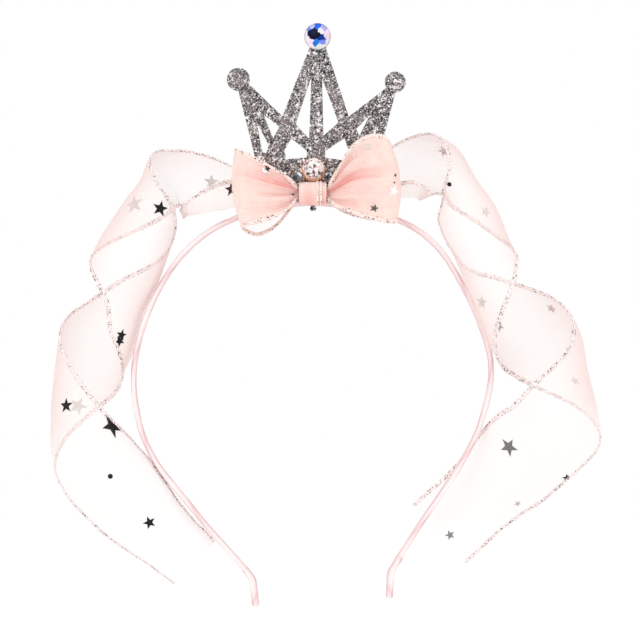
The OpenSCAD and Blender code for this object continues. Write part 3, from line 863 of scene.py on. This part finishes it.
def reflections(count, dark_at, stops, vary, seed):
    """Patches of colour inside a cut stone: their places in radii lie on a sunflower spiral,
    each 2.4 radians round from the last, and are moved at random. The distance from the dark
    spot, with a random step added, picks each colour from the stops, and each of its channels
    loses up to vary of its value."""
    rng = np.random.default_rng(seed)
    k = np.arange(count) + 0.5
    turn = 2.4 * k
    at = np.sqrt(k / count)[:, None] * np.stack([np.cos(turn), np.sin(turn)], -1)
    at += rng.normal(0, 0.35 / np.sqrt(count), at.shape)
    far = np.linalg.norm(at - dark_at, axis=1) + rng.normal(0, 0.8 / np.sqrt(count), count)
    rgb = np.stack([np.interp(far, *np.array(stops)[:, [0, c]].T) for c in (1, 2, 3)], -1)
    return np.hstack([at, rgb * rng.uniform(1 - vary, 1.0, rgb.shape)])


def nearest_tint(p, patches):
    """The colour of the patch that is nearest to each point."""
    gap = np.linalg.norm(p[:, None, :2] - patches[None, :, :2], axis=-1)
    return patches[gap.argmin(1), 2:]


def chequer_stone(name, node, at, base, radius, height, count, parts, turn, patches):
    """A stone cut all over in squares. The square from -1 to 1 is bent to a disc, each side
    times the root of 1 less half the other squared, and domed by 1 less the radius squared; a
    girdle and a slanted back close it. Each facet is split into parts by parts for its inner
    reflections, whose colours are those of the nearest patches, with a painted shade towards the
    girdle."""
    s = np.linspace(-1, 1, count + 1)
    p, q = np.meshgrid(s, s, indexing="ij")
    x, z = p * np.sqrt(1 - q**2 / 2), q * np.sqrt(1 - p**2 / 2)
    x, z = x * np.cos(turn) - z * np.sin(turn), x * np.sin(turn) + z * np.cos(turn)
    coarse = np.stack([x * radius, z * radius, height * (0.38 + 0.62 * (1 - x**2 - z**2))], -1)
    share = np.linspace(0, 1, count * parts + 1)
    share = np.meshgrid(share, share, indexing="ij")
    dome = on_grid(coarse, *share)
    edge = np.concatenate([dome[:-1, 0], dome[-1, :-1], dome[:0:-1, -1], dome[0, :0:-1]])
    wall = np.stack([edge, edge * [1, 1, 0] + [0, 0, height * 0.2], edge * [0.86, 0.86, 0]])
    top = skin(dome)
    points, tris = skin(wall, wrap=True)
    k = len(points)
    ring = 2 * len(edge) + np.arange(len(edge))
    fan = np.stack([ring, np.roll(ring, -1), np.full(len(edge), k)], -1)
    points, tris = join([top, (np.vstack([points, [0, 0, 0]]), np.vstack([tris, fan]))])
    facets = points[tris].mean(1)
    tints = nearest_tint(facets / radius, patches)
    rim = np.linalg.norm(facets[:, :2], axis=1) / radius
    # Painted shade towards the girdle
    tints *= (1 - 0.45 * np.clip((rim - 0.9) / 0.05, 0, 1))[:, None]
    placed = crown_place(points + [*at, base])
    tris = facing_out(placed - placed.mean(0), tris)
    return make_piece(name, placed, tris, STONE_FINISH, [node],
                      tints=tinted(tints), smooth=False)


# Rings of a round cut stone: shares of its radius and height, and 1 where turned half a facet
STONE_RINGS = ((0.86, 0, 0), (1, 0.2, 0), (1, 0.32, 0), (0.88, 0.6, 1), (0.72, 0.82, 0),
               (0.46, 1, 1))


def brilliant(name, node, at, base, radius, height, sides, place, shades, seed=0):
    """A round cut stone: rings of points at shares of the radius and height, two of them turned
    half a facet, and a table. Its facets' colours are painted reflections: with a seed, each facet
    gets a random one of the shades; without, shades are patches and a facet takes the nearest
    one's colour."""
    a = 2 * np.pi * np.arange(sides) / sides
    grid = np.stack([np.stack([r * radius * np.cos(a + turn * np.pi / sides),
                               r * radius * np.sin(a + turn * np.pi / sides),
                               np.full(sides, h * height)], -1) for r, h, turn in STONE_RINGS])
    points, tris = skin(grid, wrap=True, capped=True)
    if seed:
        rng = np.random.default_rng(seed)
        pick = rng.choice(len(shades), len(tris), p=np.array([s[3] for s in shades]))
        tints = np.array([s[:3] for s in shades])[pick]
    else:
        tints = nearest_tint(points[tris].mean(1) / radius, shades)
    placed = place(points + [*at, base])
    tris = facing_out(placed - placed.mean(0), tris)
    return make_piece(name, placed, tris, STONE_FINISH, [node],
                      tints=tinted(tints), smooth=False)


# The tiara

# Painted reflections inside the cut stones: distance from the dark spot in radii, then red, green,
# blue
IRIS_STOPS = [[0, 0.003, 0.002, 0.01], [0.3, 0.003, 0.008, 0.05], [0.45, 0.004, 0.05, 0.3],
              [0.57, 0.03, 0.25, 0.95], [0.66, 0.4, 0.35, 0.95], [0.76, 0.95, 0.88, 0.97],
              [1.3, 0.97, 0.96, 0.95]]
MIRROR_STOPS = [[0, 0.02, 0.018, 0.02], [0.35, 0.09, 0.092, 0.095], [0.7, 0.24, 0.245, 0.25],
                [0.9, 0.85, 0.9, 0.93]]
# Painted reflections in the clear stone's facets: red, green, blue, share of the facets
CLEAR_SHADES = [(1, 0.97, 0.96, 0.42), (0.8, 0.72, 0.7, 0.2), (0.95, 0.62, 0.55, 0.13),
                (0.35, 0.26, 0.27, 0.15), (0.08, 0.06, 0.07, 0.1)]

# The small stones: node, place (right, up), how far to the front the back lies, radius,
# height, seed
SMALL_STONES = (("side_stone_left", (-5.7, 10.6), 10.8, 1.9, 1.6, 10),
                ("side_stone_right", (6.0, 10.9), 10.8, 1.5, 1.4, 7),
                ("lower_stone", (0.3, -1.0), 2.7, 1.25, 1.2, 11))

TAIL_HEM = metal_thread("tail_hem_thread", core=(0.95, 0.82, 0.8), glint=0.26)
BOW_HEM = metal_thread("bow_hem_thread", core=(0.97, 0.76, 0.7), glint=0.2)
SATIN_FINISH = satin()
TAIL_FINISH = organza("tail_organza", *TAIL_CLOTH, cover=0.375, pale=(1.0, 0.93, 0.9),
                      deep=(0.9, 0.66, 0.62), slant=0.2)
BOW_SHADES = (0.97, 0.785, 0.71), (0.92, 0.32, 0.3)
LEFT_FINISH = organza("left_bow_organza", *LEFT_BOW_CLOTH, 0.9, *BOW_SHADES, back_lightening=0.8,
                      crumple_shade=0.6)
RIGHT_FINISH = organza("right_bow_organza", *RIGHT_BOW_CLOTH, 0.9, *BOW_SHADES, crumple_shade=0.6)
KNOT_FINISH = organza("knot_organza", *KNOT_CLOTH, cover=1.0, pale=(0.96, 0.72, 0.64),
                      deep=(0.9, 0.36, 0.33), crumple_shade=0.5)
FOIL_FINISH = tint_finish("foil", metal=0.85, rough=0.2, coat=0.0, blend=0.004, shine=0.2)
FLAKE_FINISH = tint_finish("glitter_flakes", metal=0.6, rough=0.2, coat=0.1, blend=0.02,
                           shine=0.3)
STONE_FINISH = tint_finish("cut_stone", metal=0.0, rough=0.04, coat=0.0, blend=0.0, shine=0.08)

ribbon_tail("ribbon_left_cloth", LEFT_TAIL, -1, LEFT_STARS, LEFT_DOTS)
ribbon_tail("ribbon_right_cloth", RIGHT_TAIL, 1, RIGHT_STARS, RIGHT_DOTS)
bow_loop("bow_left", LEFT_BOW, -1, LEFT_BOW_STARS, LEFT_FINISH)
bow_loop("bow_right", RIGHT_BOW, 1, RIGHT_BOW_STARS, RIGHT_FINISH)
knot_sleeve()
band_and_caps()

GLITTERED = ("crown", "pad_left", "pad_right")
leaf_flakes("crown_flakes", GLITTERED, count=5200, seed=7)
chequer_stone("top_stone_cut", "top_stone", at=(2.1, 64.2), base=1.1, radius=5.1, height=4.2,
              count=4, parts=5, turn=np.radians(-8),
              patches=reflections(21, (-0.1, 0.15), IRIS_STOPS, vary=0.3, seed=9))
brilliant("centre_stone_cut", "centre_stone", at=(0.9, 13.75), base=5.9, radius=4.05,
          height=2.5, sides=14, place=crown_place, shades=CLEAR_SHADES, seed=3)
for node, at, base, radius, height, seed in SMALL_STONES:
    brilliant(node + "_cut", node, at, base, radius, height, sides=10, place=upright_place,
              shades=reflections(9, (-0.4, -0.2), MIRROR_STOPS, 0.15, seed))

NODE_FINISHES = {"stone_cup": rose_gold(), "felt_pad": felt()}
NODE_FINISHES.update(dict.fromkeys(GLITTERED, glitter()))
for node, finish in NODE_FINISHES.items():
    nodes[node].data.materials.clear()
    nodes[node].data.materials.append(finish)


# Stage

def floor_disc(radius, level):
    """A flat disc: rings of points at growing radii."""
    r = np.linspace(0.001, radius, 12)[:, None]
    a = np.linspace(0, 2 * np.pi, 64, endpoint=False)
    grid = np.stack(np.broadcast_arrays(r * np.cos(a), r * np.sin(a), level + 0 * r * a), -1)
    points, tris = skin(grid[::-1], wrap=True)
    mesh = bpy.data.meshes.new("floor")
    mesh.from_pydata((points * MM).tolist(), [], tris.tolist())
    mesh.materials.append(studio_floor())
    floor = bpy.data.objects.new("floor", mesh)
    bpy.context.scene.collection.objects.link(floor)


def soft_light(name, place, size, power):
    """A square area light aimed at the middle of the tiara."""
    lamp = bpy.data.lights.new(name, "AREA")
    lamp.size, lamp.energy = size, power
    light = bpy.data.objects.new(name, lamp)
    light.location = place
    aim = Vector((0, 0, -0.04)) - Vector(place)
    light.rotation_euler = aim.to_track_quat("-Z", "Y").to_euler()
    bpy.context.scene.collection.objects.link(light)


floor_disc(radius=700, level=-158)
soft_light("key_light", (-0.7, -1.1, 0.9), size=0.9, power=3.5)
soft_light("side_light", (1.2, -0.5, 0.5), size=0.7, power=1.5)

world = bpy.data.worlds.new("white_studio")
world.use_nodes = True
background = world.node_tree.nodes["Background"]
background.inputs["Color"].default_value = (1, 1, 1, 1)
background.inputs["Strength"].default_value = 1.0
scene = bpy.context.scene
scene.world = world
scene.view_settings.view_transform = "Standard"

# A long lens, level, before the middle of the tiara
lens = bpy.data.cameras.new("camera")
lens.lens, lens.sensor_width, lens.clip_end = 200, 36, 20
camera = bpy.data.objects.new("camera", lens)
camera.location = (0.00285, -1.351, -0.0433)
camera.rotation_euler = (np.pi / 2, 0, 0)
scene.collection.objects.link(camera)
scene.camera = camera
